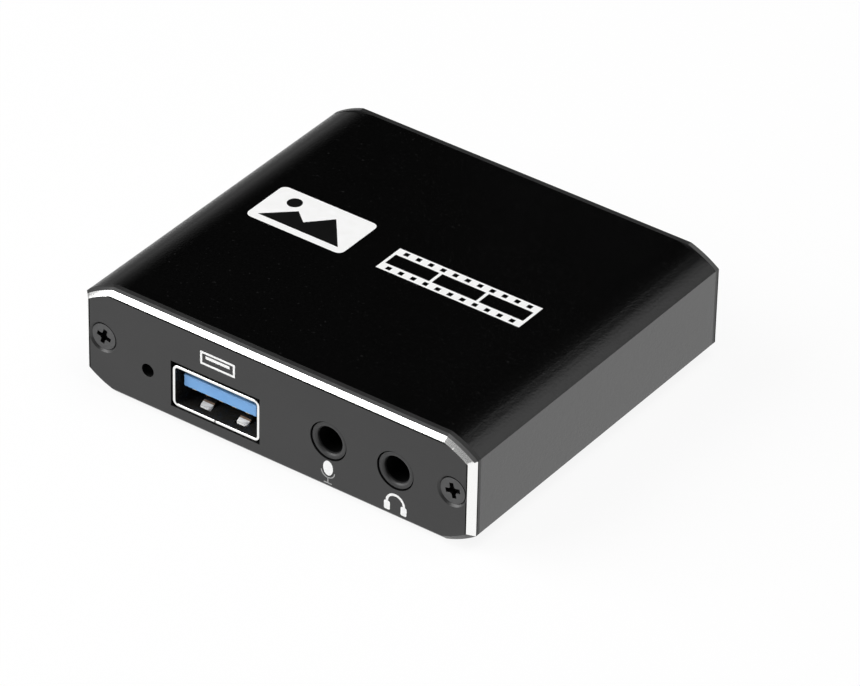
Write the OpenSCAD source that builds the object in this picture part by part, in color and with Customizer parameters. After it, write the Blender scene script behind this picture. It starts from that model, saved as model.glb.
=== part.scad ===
// Video capture box: an extruded aluminium sleeve with a plate screwed on each end.
// A circuit board slides into grooves in the sleeve and carries every socket.
// Units are mm. +X runs right across the front, +Y to the back, +Z up.
// The origin is the middle of the underside.

/* [Case] */
// Width of the case
case_w = 58; // [56:0.5:80]
// Depth of the case over both end plates
case_d = 52; // [50:0.5:80]
// Height of the case
case_h = 15.2; // [14.4:0.1:20]
// Reach of each corner cut along the top and the underside
corner_w = 4.2; // [3:0.1:5]
// Reach of each corner cut along the side
corner_h = 2.2; // [1.6:0.1:2.8]
// Outward bulge of each corner cut
corner_bulge = 0.2; // [0.1:0.05:0.3]
// Wall of the sleeve
wall_t = 1.3; // [1:0.1:1.6]

/* [End plates] */
// Thickness of each end plate
plate_t = 1.5; // [1.3:0.1:2]
// Bright bevel round the outer edge of each plate
edge_cut = 0.85; // [0.5:0.05:1]
// Gap round each socket in its plate window
window_gap = 0.15; // [0.1:0.05:0.4]
// Extra gap above the data socket in its plate window
window_head = 0.35; // [0:0.05:0.5]
// How far the socket mouths lie behind the plate face
mouth_sink = 0.15; // [0:0.05:0.4]

/* [Screws] */
// Flat left between each screw sink and the bevel
screw_land = 0.05; // [0.05:0.05:0.6]
// Screw axis above the underside
screw_z = 7.85; // [7.4:0.05:8.6]
// Diameter over the thread
screw_d = 2; // [1.8:0.1:2.2]
// Length from the top of the head to the tip
screw_len = 7; // [5:0.5:10]
// Diameter of the head
head_d = 3.6; // [3.2:0.1:3.8]
// Thickness of the rim of the head
head_rim = 0.1; // [0.05:0.05:0.2]
// How far the head lies below the plate face
head_sink = 0.2; // [0.1:0.05:0.25]
// Width across the cross recess
cross_w = 2.1; // [1.8:0.1:2.4]
// Width of each arm of the cross recess
cross_arm = 0.6; // [0.4:0.05:0.7]
// Depth of the cross recess
cross_depth = 0.8; // [0.5:0.1:1]
// Width of the hollow in the middle of the cross recess
cross_hollow = 1.1; // [0.8:0.1:1.3]
// Turn of the cross recess
cross_turn = 15; // [0:1:45]
// Pitch of the thread
thread_pitch = 0.5; // [0.4:0.05:0.6]
// Depth of the thread
thread_depth = 0.2; // [0.15:0.05:0.3]
// Play round a screw in its plate and its channel
screw_play = 0.03; // [0.02:0.01:0.1]
// Wall round each screw channel
channel_wall = 1.15; // [0.9:0.05:1.3]
// Opening along the inner side of each screw channel
channel_slot = 0.9; // [0.6:0.1:1.2]

/* [Board] */
// Thickness of the circuit board
board_t = 1.2; // [1:0.1:1.6]
// Space under the board
board_gap = 0.9; // [0.8:0.1:1.4]
// Play of the board in its grooves
board_play = 0.15; // [0.05:0.05:0.25]
// How far the rails come in from the side of the case
rail_reach = 4.4; // [4:0.1:5]
// Depth of the grooves that hold the board
groove_bite = 1.5; // [1:0.1:2]
// Thickness of the rails over the board
rail_t = 0.9; // [0.6:0.1:1.2]
// Play round each lead in its hole in the board
lead_play = 0.1; // [0.05:0.05:0.2]
// Length of the leads under the board
lead_below = 0.6; // [0.3:0.1:0.8]
// Side of the gap pad under the capture chip
pad_side = 12; // [8:0.5:14]

/* [Data socket] */
// Middle of the data socket
data_x = -8.9; // [-10:0.1:-7]
// Width over the shell
data_w = 13.1; // [13:0.05:13.3]
// Height over the shell
data_h = 5.95; // [5.6:0.05:6.1]
// Depth of the shell
data_d = 14.5; // [13:0.5:16]
// Sheet of the shell
data_sheet = 0.38; // [0.3:0.02:0.4]
// Corner radius of the shell
data_r = 0.8; // [0.5:0.1:1]
// How far the shell sinks into the board
data_sink = 1; // [0.5:0.05:1.1]
// Gap round the shell in the board
data_slot_gap = 0.25; // [0.15:0.05:0.4]
// Width of the tongue
tongue_w = 11; // [10.6:0.1:11.4]
// Thickness of the tongue
tongue_t = 1.7; // [1.5:0.1:1.9]
// Middle of the tongue above the middle of the shell
tongue_up = 0.6; // [0.5:0.05:0.7]
// How far the tongue lies behind the mouth
tongue_back = 0.85; // [0.6:0.05:1.2]
// Length of the moulded block behind the tongue
data_block = 4; // [3:0.5:5]
// Play of the moulded block in the shell
block_play = 0.05; // [0.02:0.01:0.1]
// Width of each power and signal contact
pin_w = 1; // [0.8:0.1:1.2]
// How far these contacts stand below the tongue
pin_drop = 0.25; // [0.15:0.05:0.35]
// Places of the power and signal contacts
pin_spots = [-3.5, -1, 1, 3.5]; // [-4:0.5:4]
// Distance between the fast contacts
fast_pitch = 2; // [1.8:0.1:2.2]
// Width of each fast contact
fast_w = 0.6; // [0.4:0.1:0.8]
// Length of each fast contact
fast_len = 0.9; // [0.6:0.1:1.1]
// Thickness of the fast contacts and the tails
tail_t = 0.2; // [0.1:0.05:0.3]
// Distance between the tails
tail_pitch = 1; // [0.8:0.1:1.2]
// Length of each solder foot
tail_foot = 1; // [0.6:0.1:1.4]
// How far the shell wings reach over the board
wing_reach = 1.4; // [1.1:0.1:1.6]
// Length of each wing
wing_len = 2.2; // [1.6:0.1:2.6]
// Front wing behind the mouth
wing_front = 4; // [3.5:0.5:5]
// Distance between the wings
wing_pitch = 7; // [5:0.5:8]
// Width of each shell leg
leg_w = 1.4; // [1:0.1:1.5]

/* [Spring fingers] */
// Width of each finger of the data socket
finger_w = 1.6; // [1.2:0.1:1.8]
// Distance between the fingers of the data socket
finger_pitch = 5.5; // [5:0.1:6]
// Root of each finger behind the mouth
finger_root = 1.5; // [1.3:0.1:2]
// Length of each finger
finger_len = 3.4; // [3:0.1:4]
// Length of the ramp up to the crest
ramp_len = 1.3; // [1:0.1:2.6]
// Height of the crest
finger_rise = 0.6; // [0.4:0.05:0.65]
// Height of the free end
finger_end = 0.3; // [0.2:0.05:0.4]
// Thickness of each finger
finger_t = 0.24; // [0.18:0.02:0.3]
// Rolled bead at the root, over the finger thickness
bead_over = 0.1; // [0.05:0.05:0.15]
// Gap round each finger in its window
finger_gap = 0.2; // [0.15:0.05:0.3]
// Width of each finger of the video sockets
video_finger_w = 1.8; // [1.4:0.1:2.2]
// Distance between the fingers of the video sockets
video_finger_pitch = 6.4; // [5.6:0.1:7]

/* [Audio jacks] */
// Middle of the headphone jack to the side of the case
phone_inset = 11.2; // [10.4:0.1:12]
// Distance between the jacks
jack_pitch = 9.8; // [9:0.1:10.5]
// Jack axis above the board
jack_rise = 3.8; // [3.6:0.1:4]
// Width of each jack body
jack_w = 7.8; // [7:0.1:8.2]
// Height of each jack body
jack_h = 7.6; // [7.4:0.1:8]
// Length of each jack body behind the plate
jack_len = 13.6; // [13:0.1:15]
// Gap between a jack body and the plate
jack_gap = 0.1; // [0.05:0.05:0.2]
// Diameter of the collar
collar_d = 5.05; // [4.9:0.05:5.5]
// Gap round the collar in the plate
collar_gap = 0.14; // [0.06:0.02:0.25]
// Diameter of the plug bore
plug_bore = 3.6; // [3.55:0.01:3.7]
// Bevel at the mouth of the bore
bore_bevel = 0.1; // [0.1:0.05:0.55]
// Length of the bore in the body, ahead of the spring chamber
bush_len = 3.4; // [2.8:0.1:3.8]
// Width of the spring chamber
chamber_w = 5.8; // [5.6:0.1:6]
// Wall behind and above the spring chamber
chamber_wall = 0.8; // [0.6:0.1:0.9]
// Diameter of each spring post
post_d = 0.6; // [0.5:0.05:0.65]
// Gap between a spring post and the chamber wall
post_gap = 0.15; // [0.1:0.05:0.2]
// Ring spring post behind the bush
ring_post_y = 0.7; // [0.5:0.1:1]
// Tip spring post behind the bush
tip_post_y = 3.6; // [3.4:0.1:4]
// Length of each leaf up to its crest
leaf_crest = 4; // [3.6:0.1:4.2]
// Length of each leaf
leaf_len = 5; // [4.6:0.1:5.2]
// How far each crest stands into the bore
leaf_bite = 0.55; // [0.4:0.05:0.6]
// How far each free end stands back from its crest
leaf_hook = 0.5; // [0.4:0.05:0.6]
// Thickness of the leaves and the sleeve contact
leaf_t = 0.25; // [0.2:0.05:0.3]
// Height of each leaf
leaf_h = 1.8; // [1.4:0.1:2.2]
// Sleeve contact behind the bush
sleeve_y = 0.4; // [0.2:0.1:0.6]
// Length of the sleeve contact along the bore
sleeve_len = 1.4; // [1:0.1:1.8]

/* [Video sockets] */
// Middle of each video socket from the middle of the case
video_x = 10.6; // [10:0.1:12]
// Width over the shell
video_w = 14.9; // [14.6:0.1:15.2]
// Height over the shell
video_h = 5.5; // [5.3:0.1:5.7]
// Width across the underside of the shell
video_low_w = 10.6; // [10:0.1:11.4]
// Height of the tapered lower part
video_taper = 2.3; // [2:0.1:2.6]
// Depth of the shell
video_d = 11.6; // [10.6:0.1:12.6]
// Sheet of the shell
video_sheet = 0.3; // [0.25:0.05:0.35]
// Gap under the shell
video_lift = 0.3; // [0.2:0.05:0.5]
// Width of the tongue
video_tongue_w = 11.4; // [11:0.1:11.8]
// Thickness of the tongue
video_tongue_t = 1.1; // [0.9:0.1:1.2]
// Middle of the tongue above the middle of the shell
video_tongue_up = 0.3; // [0.2:0.05:0.4]
// How far the tongue lies behind the mouth
video_tongue_back = 1.2; // [0.8:0.1:1.6]
// Length of the moulded block behind the tongue
video_block = 4; // [3:0.5:5]
// Distance between contacts
video_pitch = 1; // [0.9:0.05:1.1]
// Width of each contact
video_pin_w = 0.45; // [0.35:0.05:0.5]
// How far each contact stands off the tongue
video_pin_t = 0.12; // [0.08:0.02:0.16]
// Length of each contact
video_pin_len = 4.6; // [4:0.1:5]
// Front leg behind the mouth
video_leg_front = 3; // [2.5:0.5:4]
// Distance between the legs along the shell
video_leg_pitch = 5.5; // [4.5:0.5:6]

/* [Status lamp] */
// Middle of the lamp to the middle of the data socket
lamp_pitch = 10.2; // [9.6:0.1:11]
// Lamp axis above the board
lamp_rise = 2.5; // [2:0.05:2.6]
// Hole in the front plate
lamp_hole = 1.8; // [1.5:0.1:2]
// Diameter of the lamp
lamp_d = 1.8; // [1.5:0.1:2]
// Length of the lamp with its dome
lamp_len = 3.2; // [2.6:0.1:3.6]
// Gap between the lamp and the plate
lamp_gap = 0.15; // [0.05:0.05:0.3]
// Play of the lamp in its holder
lamp_play = 0.05; // [0.02:0.01:0.1]
// Side of the holder
holder_w = 3; // [2.6:0.1:3.4]
// Length of the holder
holder_len = 2.6; // [2:0.1:2.8]
// Holder behind the front plate
holder_back = 0.9; // [0.7:0.1:1]
// Diameter of each lamp lead
lead_d = 0.5; // [0.4:0.05:0.6]
// Distance between the lamp leads
lead_pitch = 1.27; // [1.2:0.01:1.35]
// Straight length of each lead behind the lamp
lead_run = 0.8; // [0.6:0.1:1]

/* [Chips] */
// Gap between neighbouring parts on the board
part_gap = 0.5; // [0.4:0.1:0.8]
// Gap between the rails and the parts beside them
side_gap = 1.35; // [1:0.05:1.8]
// Side of the capture chip
capture_side = 10; // [9:0.5:11]
// Side of the repeater chip
repeater_side = 9; // [8:0.5:9.5]
// Repeater chip left of the middle of the jacks
repeater_shift = 3; // [2.5:0.1:3.5]
// Side of the audio chip
audio_side = 5; // [4:0.5:5.5]
// Height of the flat chips
chip_h = 0.9; // [0.7:0.1:1.2]
// Memory chip behind the middle of the capture chip
memory_shift = 6; // [4:0.5:8]
// Length of the memory chip
memory_l = 4.9; // [4.6:0.1:5.2]
// Width of the memory chip
memory_w = 3.9; // [3.6:0.1:4.2]
// Height of the memory chip
memory_h = 1.5; // [1.2:0.1:1.7]
// Pitch of the memory chip legs
memory_pitch = 1.27; // [1.2:0.01:1.3]
// Width of the memory chip legs
memory_leg = 0.42; // [0.3:0.02:0.5]
// Reach of the legs of the memory chip and the regulator
leg_reach = 1; // [0.8:0.1:1.2]
// Length of the regulator
regulator_l = 6.5; // [6:0.1:6.8]
// Width of the regulator
regulator_w = 3.5; // [3.3:0.1:3.7]
// Height of the regulator
regulator_h = 1.6; // [1.4:0.1:1.8]
// Pitch of the regulator legs
regulator_pitch = 2.3; // [2.2:0.05:2.35]
// Width of the regulator tab
regulator_tab = 3; // [2.6:0.1:3.2]
// Width of the regulator legs
regulator_leg = 0.7; // [0.6:0.05:0.8]

/* [Small parts] */
// Front power coil ahead of the middle of the capture chip
coil_shift = 7; // [6:0.5:8]
// Distance between the power coils
coil_pitch = 5.5; // [5:0.1:6]
// Side of each power coil
coil_side = 4; // [3.5:0.1:4.4]
// Height of each power coil
coil_h = 2.1; // [1.8:0.1:2.2]
// Diameter of the winding in each coil
coil_wire_d = 2.8; // [2.4:0.1:3]
// Depth of the winding window of each coil
coil_well = 0.3; // [0.2:0.05:0.4]
// Gap between the capture chip and the timing crystals
crystal_gap = 1.2; // [0.8:0.1:1.6]
// Distance between the timing crystals
crystal_pitch = 7; // [4:0.5:8]
// Length of each crystal
crystal_l = 3.2; // [2.8:0.1:3.6]
// Width of each crystal
crystal_w = 2.5; // [2:0.1:2.8]
// Height of each crystal
crystal_h = 0.8; // [0.6:0.1:1]
// Distance between capacitors
capacitor_pitch = 2.2; // [2:0.1:2.6]
// Length of each capacitor
capacitor_l = 1.6; // [1.4:0.1:1.8]
// Width and height of each capacitor
capacitor_w = 0.8; // [0.7:0.05:0.9]
// Distance between resistors
resistor_pitch = 1.6; // [1.4:0.1:2]
// Length of each resistor
resistor_l = 1; // [0.8:0.1:1.2]
// Width of each resistor
resistor_w = 0.5; // [0.4:0.05:0.6]
// Height of each resistor
resistor_h = 0.4; // [0.3:0.05:0.45]
// Distance between the surge protectors of a socket
surge_pitch = 5.2; // [4:0.1:6]
// Length of each surge protector
surge_l = 2.5; // [2.2:0.1:2.8]
// Width of each surge protector
surge_w = 1; // [0.8:0.1:1.2]
// Height of each surge protector
surge_h = 0.5; // [0.4:0.05:0.6]

/* [Hidden] */
$fn = 48;
corner_steps = 8;
video_top_pins = 10;
memory_legs = 4;
capacitor_count = 5;
resistor_count = 6;
cut_over = 0.5;

front_y = -case_d / 2;
plate_in = front_y + plate_t;
board_z = wall_t + board_gap;
board_top = board_z + board_t;
board_half = case_w / 2 - rail_reach + groove_bite - board_play;
board_front = plate_in + board_play;
lead_z = board_z - lead_below;
mouth_y = front_y + mouth_sink;

corner_len = sqrt(pow(corner_w, 2) + pow(corner_h, 2));
corner_r = pow(corner_len, 2) / (8 * corner_bulge) + corner_bulge / 2;
arc_x = (case_w - corner_w) / 2 - (corner_r - corner_bulge) * corner_h / corner_len;
arc_z = (case_h - corner_h) / 2 - (corner_r - corner_bulge) * corner_w / corner_len;

channel_d = screw_d + 2 * screw_play;
head_cone = (head_d - screw_d) / 2;
sink_h = head_sink + head_rim + head_cone;
screw_inset = edge_cut + screw_land + channel_d / 2 + sink_h;
screw_x = case_w / 2 - screw_inset;
thread_turns = floor((screw_len - head_rim - head_cone) / thread_pitch);

data_z = board_top - data_sink + data_h / 2;
data_back = mouth_y + data_d;
data_block_y = data_back - data_block;
tongue_z = data_z + tongue_up;
data_inner_w = data_w - 2 * data_sheet;
data_inner_h = data_h - 2 * data_sheet;

phone_x = case_w / 2 - phone_inset;
mic_x = phone_x - jack_pitch;
jack_mid = (mic_x + phone_x) / 2;
jack_z = board_top + jack_rise;
jack_front = plate_in + jack_gap;
jack_back = jack_front + jack_len;
bush_end = jack_front + bush_len;
post_x = (chamber_w - post_d) / 2 - post_gap;
leaf_rise = post_x - (plug_bore + leaf_t) / 2 + leaf_bite;
leaf_end = leaf_rise - leaf_hook;

video_z = board_top + video_lift + video_h / 2;
video_back = mouth_y + video_d;
video_block_y = video_back - video_block;
video_tongue_z = video_z + video_tongue_up;

lamp_x = data_x - lamp_pitch;
lamp_z = board_top + lamp_rise;
lamp_front = plate_in + lamp_gap;
holder_y = plate_in + holder_back;
lead_y = lamp_front + lamp_len + lead_run;

capacitor_y = data_back + data_slot_gap + tail_foot + part_gap + capacitor_l / 2;
capture_y = capacitor_y + (capacitor_l + capture_side) / 2 + part_gap;
crystal_x = data_x + (capture_side + crystal_l) / 2 + crystal_gap;
audio_y = jack_back + part_gap + audio_side / 2;
resistor_y = audio_y + (audio_side + resistor_l) / 2 + part_gap;
repeater_x = jack_mid - repeater_shift;
repeater_y = resistor_y + (resistor_l + repeater_side) / 2 + part_gap;
side_x = case_w / 2 - rail_reach - side_gap;
surge_y = -video_back - tail_foot - part_gap - surge_w / 2;

function corner_points(d) =
    let (r = corner_r - d)
    let (first = acos((case_w / 2 - d - arc_x) / r))
    let (last = asin((case_h / 2 - d - arc_z) / r))
    [for (i = [0:corner_steps])
        let (a = first + (last - first) * i / corner_steps)
        [arc_x + r * cos(a), arc_z + r * sin(a)]];

function placed(points, sx, sz) = [for (p = points) [sx * p[0], case_h / 2 + sz * p[1]]];

function reversed(points) = [for (i = [len(points) - 1:-1:0]) points[i]];

function outline(d) =
    let (c = corner_points(d))
    concat(placed(c, 1, 1), placed(reversed(c), -1, 1), placed(c, -1, -1), placed(reversed(c), 1, -1));

function round_rect(w, h, r) =
    [for (q = [0:3]) for (i = [0:corner_steps])
        let (a = q * 90 + i * 90 / corner_steps)
        let (sx = (q == 0 || q == 3) ? 1 : -1)
        let (sz = (q < 2) ? 1 : -1)
        [sx * (w / 2 - r) + r * cos(a), sz * (h / 2 - r) + r * sin(a)]];

function video_outline(d) =
    let (w = video_w / 2 + d)
    let (low = video_low_w / 2 + d)
    let (h = video_h / 2 + d)
    let (taper = video_taper - video_h / 2)
    [[w, h], [-w, h], [-w, taper], [-low, -h], [low, -h], [w, taper]];

module along_y(y0, y1) {
    translate([0, y1, 0]) rotate([90, 0, 0]) linear_extrude(y1 - y0) children();
}

module along_x(x0, x1) {
    translate([x0, 0, 0]) rotate([90, 0, 90]) linear_extrude(x1 - x0) children();
}

module block(from, to) {
    translate(from) cube(to - from);
}

module rod_y(d, x, z, y0, y1) {
    translate([x, y1, z]) rotate([90, 0, 0]) cylinder(d = d, h = y1 - y0);
}

module both_sides() {
    children();
    mirror([1, 0, 0]) children();
}

module at_back() {
    mirror([0, 1, 0]) children();
}

module on_board(at, l, w, h) {
    translate([at[0] - l / 2, at[1] - w / 2, board_top]) cube([l, w, h]);
}

// Case

module sleeve_section() {
    difference() {
        polygon(outline(0));
        difference() {
            polygon(outline(wall_t));
            both_sides() {
                translate([case_w / 2 - rail_reach, 0])
                    square([rail_reach, board_top + board_play + rail_t]);
                translate([screw_x, screw_z]) circle(d = channel_d + 2 * channel_wall);
                translate([screw_x, screw_z - channel_d / 2 - channel_wall])
                    square([screw_inset, channel_d + 2 * channel_wall]);
            }
        }
        both_sides() {
            translate([0, board_z]) square([board_half + board_play, board_t + board_play]);
            translate([screw_x, screw_z]) circle(d = channel_d);
            translate([screw_x - channel_d - channel_wall, screw_z - channel_slot / 2])
                square([channel_d + channel_wall, channel_slot]);
        }
    }
}

module plate_blank() {
    hull() {
        along_y(front_y, plate_in) polygon(outline(edge_cut));
        along_y(front_y + edge_cut, plate_in) polygon(outline(0));
    }
}

module screw_sinks() {
    both_sides() {
        rod_y(channel_d, screw_x, screw_z, front_y - cut_over, plate_in + cut_over);
        translate([screw_x, front_y, screw_z]) rotate([-90, 0, 0])
            cylinder(d1 = channel_d + 2 * sink_h, d2 = channel_d, h = sink_h);
    }
}

module screw() {
    thread = [for (i = [0:thread_turns - 1])
        let (z = -head_rim - head_cone - i * thread_pitch)
        each [[screw_d / 2, z], [screw_d / 2 - thread_depth, z - thread_pitch / 2]]];
    difference() {
        rotate_extrude()
            polygon(concat([[0, 0], [head_d / 2, 0], [head_d / 2, -head_rim]], thread, [[0, -screw_len]]));
        for (turn = [0, 90])
            rotate([0, 0, turn + cross_turn])
                translate([-cross_w / 2, -cross_arm / 2, -cross_depth])
                    cube([cross_w, cross_arm, screw_len]);
        rotate_extrude()
            polygon([[0, -cross_depth], [cross_arm / 2, -cross_depth], [cross_hollow / 2, 0],
                [cross_hollow / 2, cut_over], [0, cut_over]]);
    }
}

module screw_pair() {
    both_sides()
        translate([screw_x, front_y + head_sink, screw_z]) rotate([90, 0, 0]) screw();
}

module sleeve() {
    color("#1a1a1c") along_y(plate_in, -plate_in) sleeve_section();
}

module front_plate() {
    color("#3a3a3c") difference() {
        plate_blank();
        screw_sinks();
        block([data_x - data_w / 2 - window_gap, front_y - cut_over, data_z - data_h / 2 - window_gap],
            [data_x + data_w / 2 + window_gap, plate_in + cut_over,
                data_z + data_h / 2 + window_gap + window_head]);
        for (x = [mic_x, phone_x])
            rod_y(collar_d + 2 * collar_gap, x, jack_z, front_y - cut_over, plate_in + cut_over);
        rod_y(lamp_hole, lamp_x, lamp_z, front_y - cut_over, plate_in + cut_over);
    }
}

module rear_plate() {
    color("#3a3a3c") at_back() difference() {
        plate_blank();
        screw_sinks();
        both_sides() translate([video_x, 0, video_z])
            along_y(front_y - cut_over, plate_in + cut_over) polygon(video_outline(window_gap));
    }
}

module front_screws() {
    color("#2a2a2c") screw_pair();
}

module rear_screws() {
    color("#2a2a2c") at_back() screw_pair();
}

// Board

module data_wings(play) {
    for (side = [-1, 1], y = [wing_front, wing_front + wing_pitch]) {
        x = data_x + side * (data_w / 2 + wing_reach - data_sheet / 2);
        block([x - data_sheet / 2 - play, mouth_y + y - leg_w / 2 - play, lead_z - play],
            [x + data_sheet / 2 + play, mouth_y + y + leg_w / 2 + play, board_top + play]);
    }
}

module video_legs(x, play) {
    for (side = [-1, 1], y = [video_leg_front, video_leg_front + video_leg_pitch]) {
        at = x + side * (video_w - video_sheet) / 2;
        block([at - video_sheet / 2 - play, mouth_y + y - leg_w / 2 - play, lead_z - play],
            [at + video_sheet / 2 + play, mouth_y + y + leg_w / 2 + play, video_z]);
    }
}

module post(x, side, y, play) {
    translate([x + side * post_x, bush_end + y, lead_z - play])
        cylinder(d = post_d + 2 * play, h = jack_z + leaf_h / 2 - lead_z + play);
}

module sleeve_leg(x, play) {
    outer = x + chamber_w / 2 - leaf_t;
    y = bush_end + sleeve_y;
    block([outer - leaf_t - play, y - play, lead_z - play],
        [outer + play, y + sleeve_len + play, jack_z + plug_bore / 2 + leaf_t]);
}

module lamp_lead_pair(play) {
    for (side = [-1, 1])
        translate([lamp_x + side * lead_pitch / 2, lead_y, lead_z - play])
            cylinder(d = lead_d + 2 * play, h = lamp_z - lead_z + play);
}

module circuit_board() {
    color("#1f6b3a") difference() {
        block([-board_half, board_front, board_z], [board_half, -board_front, board_top]);
        block([data_x - data_w / 2 - data_slot_gap, board_front - cut_over, board_z - cut_over],
            [data_x + data_w / 2 + data_slot_gap, data_back + data_slot_gap, board_top + cut_over]);
        data_wings(lead_play);
        at_back() for (side = [-1, 1]) video_legs(side * video_x, lead_play);
        for (x = [mic_x, phone_x]) {
            post(x, -1, ring_post_y, lead_play);
            post(x, 1, tip_post_y, lead_play);
            sleeve_leg(x, lead_play);
        }
        lamp_lead_pair(lead_play);
    }
}

module gap_pad() {
    color("#9fb4c8") translate([data_x - pad_side / 2, capture_y - pad_side / 2, wall_t])
        cube([pad_side, pad_side, board_gap]);
}

// Spring fingers of the flat sockets, with the root at the origin and the crest up

module finger(w) {
    half = finger_t / 2;
    along_x(-w / 2, w / 2) {
        circle(d = finger_t + bead_over);
        polygon([[0, -half], [ramp_len, finger_rise - half], [finger_len, finger_end - half],
            [finger_len, finger_end + half], [ramp_len, finger_rise + half], [0, half]]);
    }
}

module finger_window(w, sheet) {
    clear = (finger_t + bead_over) / 2 + finger_gap;
    block([-w / 2 - finger_gap, -clear, -sheet], [w / 2 + finger_gap, finger_len + clear, sheet]);
}

// One contact tail, from the back of a socket down to its solder foot

module tail(x, y, top, w, foot) {
    along_x(x - w / 2, x + w / 2)
        polygon([[y, top], [y, board_top], [y + foot, board_top], [y + foot, board_top + tail_t],
            [y + tail_t, board_top + tail_t], [y + tail_t, top]]);
}

// Data socket

module data_finger_spots() {
    for (side = [-1, 1])
        translate([data_x + side * finger_pitch / 2, mouth_y + finger_root,
            data_z - (data_h - data_sheet) / 2])
            children();
}

module data_flipped() {
    translate([0, 0, 2 * data_z]) mirror([0, 0, 1]) children();
}

module data_shell() {
    color("#c9ccd0") difference() {
        union() {
            translate([data_x, 0, data_z]) along_y(mouth_y, data_back) difference() {
                polygon(round_rect(data_w, data_h, data_r));
                polygon(round_rect(data_inner_w, data_inner_h, data_r - data_sheet));
            }
            for (side = [-1, 1], y = [wing_front, wing_front + wing_pitch])
                translate([data_x + side * (data_w - data_sheet + wing_reach) / 2, mouth_y + y,
                    board_top + data_sheet / 2])
                    cube([wing_reach + data_sheet, wing_len, data_sheet], center = true);
            data_wings(0);
        }
        data_finger_spots() finger_window(finger_w, data_sheet);
        data_flipped() data_finger_spots() finger_window(finger_w, data_sheet);
    }
}

module data_tongue() {
    color("#3f7fd0") union() {
        block([data_x - tongue_w / 2, mouth_y + tongue_back, tongue_z - tongue_t / 2],
            [data_x + tongue_w / 2, data_block_y + cut_over, tongue_z + tongue_t / 2]);
        translate([data_x, 0, data_z]) along_y(data_block_y, data_back)
            polygon(round_rect(data_inner_w - 2 * block_play, data_inner_h - 2 * block_play,
                data_r - data_sheet));
    }
}

module data_contacts() {
    low = tongue_z - tongue_t / 2;
    fast_y = mouth_y + tongue_back + tail_t;
    color("#d8b45a") {
        for (at = pin_spots)
            block([data_x + at - pin_w / 2, fast_y + fast_len + tail_t, low - pin_drop],
                [data_x + at + pin_w / 2, data_block_y, low]);
        for (i = [-2:2])
            translate([data_x + i * fast_pitch, 0, 0])
                block([-fast_w / 2, fast_y, low - tail_t / 2], [fast_w / 2, fast_y + fast_len, low]);
        for (i = [-4:4])
            tail(data_x + i * tail_pitch, data_back, data_z, 2 * tail_t, data_slot_gap + tail_foot);
    }
}

module data_lower_fingers() {
    color("#e0e2e4") data_finger_spots() finger(finger_w);
}

module data_upper_fingers() {
    color("#e0e2e4") data_flipped() data_finger_spots() finger(finger_w);
}

// Audio jacks

module jack_body(x) {
    color("#161617") difference() {
        union() {
            rod_y(collar_d, x, jack_z, mouth_y, jack_front + cut_over);
            block([x - jack_w / 2, jack_front, board_top], [x + jack_w / 2, jack_back, board_top + jack_h]);
        }
        rod_y(plug_bore, x, jack_z, mouth_y - cut_over, bush_end + cut_over);
        translate([x, mouth_y, jack_z]) rotate([-90, 0, 0])
            cylinder(d1 = plug_bore + 2 * bore_bevel, d2 = plug_bore, h = bore_bevel);
        block([x - chamber_w / 2, bush_end, board_top - cut_over],
            [x + chamber_w / 2, jack_back - chamber_wall, board_top + jack_h - chamber_wall]);
    }
}

module jack_leaf(x, side, y) {
    half = leaf_t / 2;
    crest = side * leaf_rise;
    end = side * leaf_end;
    color("#d8b45a") union() {
        post(x, side, y, 0);
        translate([x + side * post_x, bush_end + y, jack_z - leaf_h / 2])
            linear_extrude(leaf_h)
                polygon([[half, 0], [half - crest, leaf_crest], [half - end, leaf_len],
                    [-half - end, leaf_len], [-half - crest, leaf_crest], [-half, 0]]);
    }
}

module jack_sleeve_contact(x) {
    color("#d8b45a") union() {
        sleeve_leg(x, 0);
        block([x - plug_bore / 2, bush_end + sleeve_y, jack_z + plug_bore / 2],
            [x + chamber_w / 2 - leaf_t, bush_end + sleeve_y + sleeve_len,
                jack_z + plug_bore / 2 + leaf_t]);
    }
}

module mic_body() {
    jack_body(mic_x);
}

module mic_ring_spring() {
    jack_leaf(mic_x, -1, ring_post_y);
}

module mic_tip_spring() {
    jack_leaf(mic_x, 1, tip_post_y);
}

module mic_sleeve_contact() {
    jack_sleeve_contact(mic_x);
}

module phone_body() {
    jack_body(phone_x);
}

module phone_ring_spring() {
    jack_leaf(phone_x, -1, ring_post_y);
}

module phone_tip_spring() {
    jack_leaf(phone_x, 1, tip_post_y);
}

module phone_sleeve_contact() {
    jack_sleeve_contact(phone_x);
}

// Video sockets

module video_finger_spots(x) {
    for (side = [-1, 1])
        translate([x + side * video_finger_pitch / 2, mouth_y + finger_root,
            video_z + (video_h - video_sheet) / 2])
            mirror([0, 0, 1]) children();
}

module video_shell(x) {
    color("#c9ccd0") at_back() difference() {
        union() {
            translate([x, 0, video_z]) along_y(mouth_y, video_back) difference() {
                polygon(video_outline(0));
                polygon(video_outline(-video_sheet));
            }
            video_legs(x, 0);
        }
        video_finger_spots(x) finger_window(video_finger_w, video_sheet);
    }
}

module video_tongue(x) {
    color("#1c1c1e") at_back() union() {
        block([x - video_tongue_w / 2, mouth_y + video_tongue_back, video_tongue_z - video_tongue_t / 2],
            [x + video_tongue_w / 2, video_block_y + cut_over, video_tongue_z + video_tongue_t / 2]);
        translate([x, 0, video_z]) along_y(video_block_y, video_back)
            polygon(video_outline(-video_sheet - block_play));
    }
}

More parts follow.
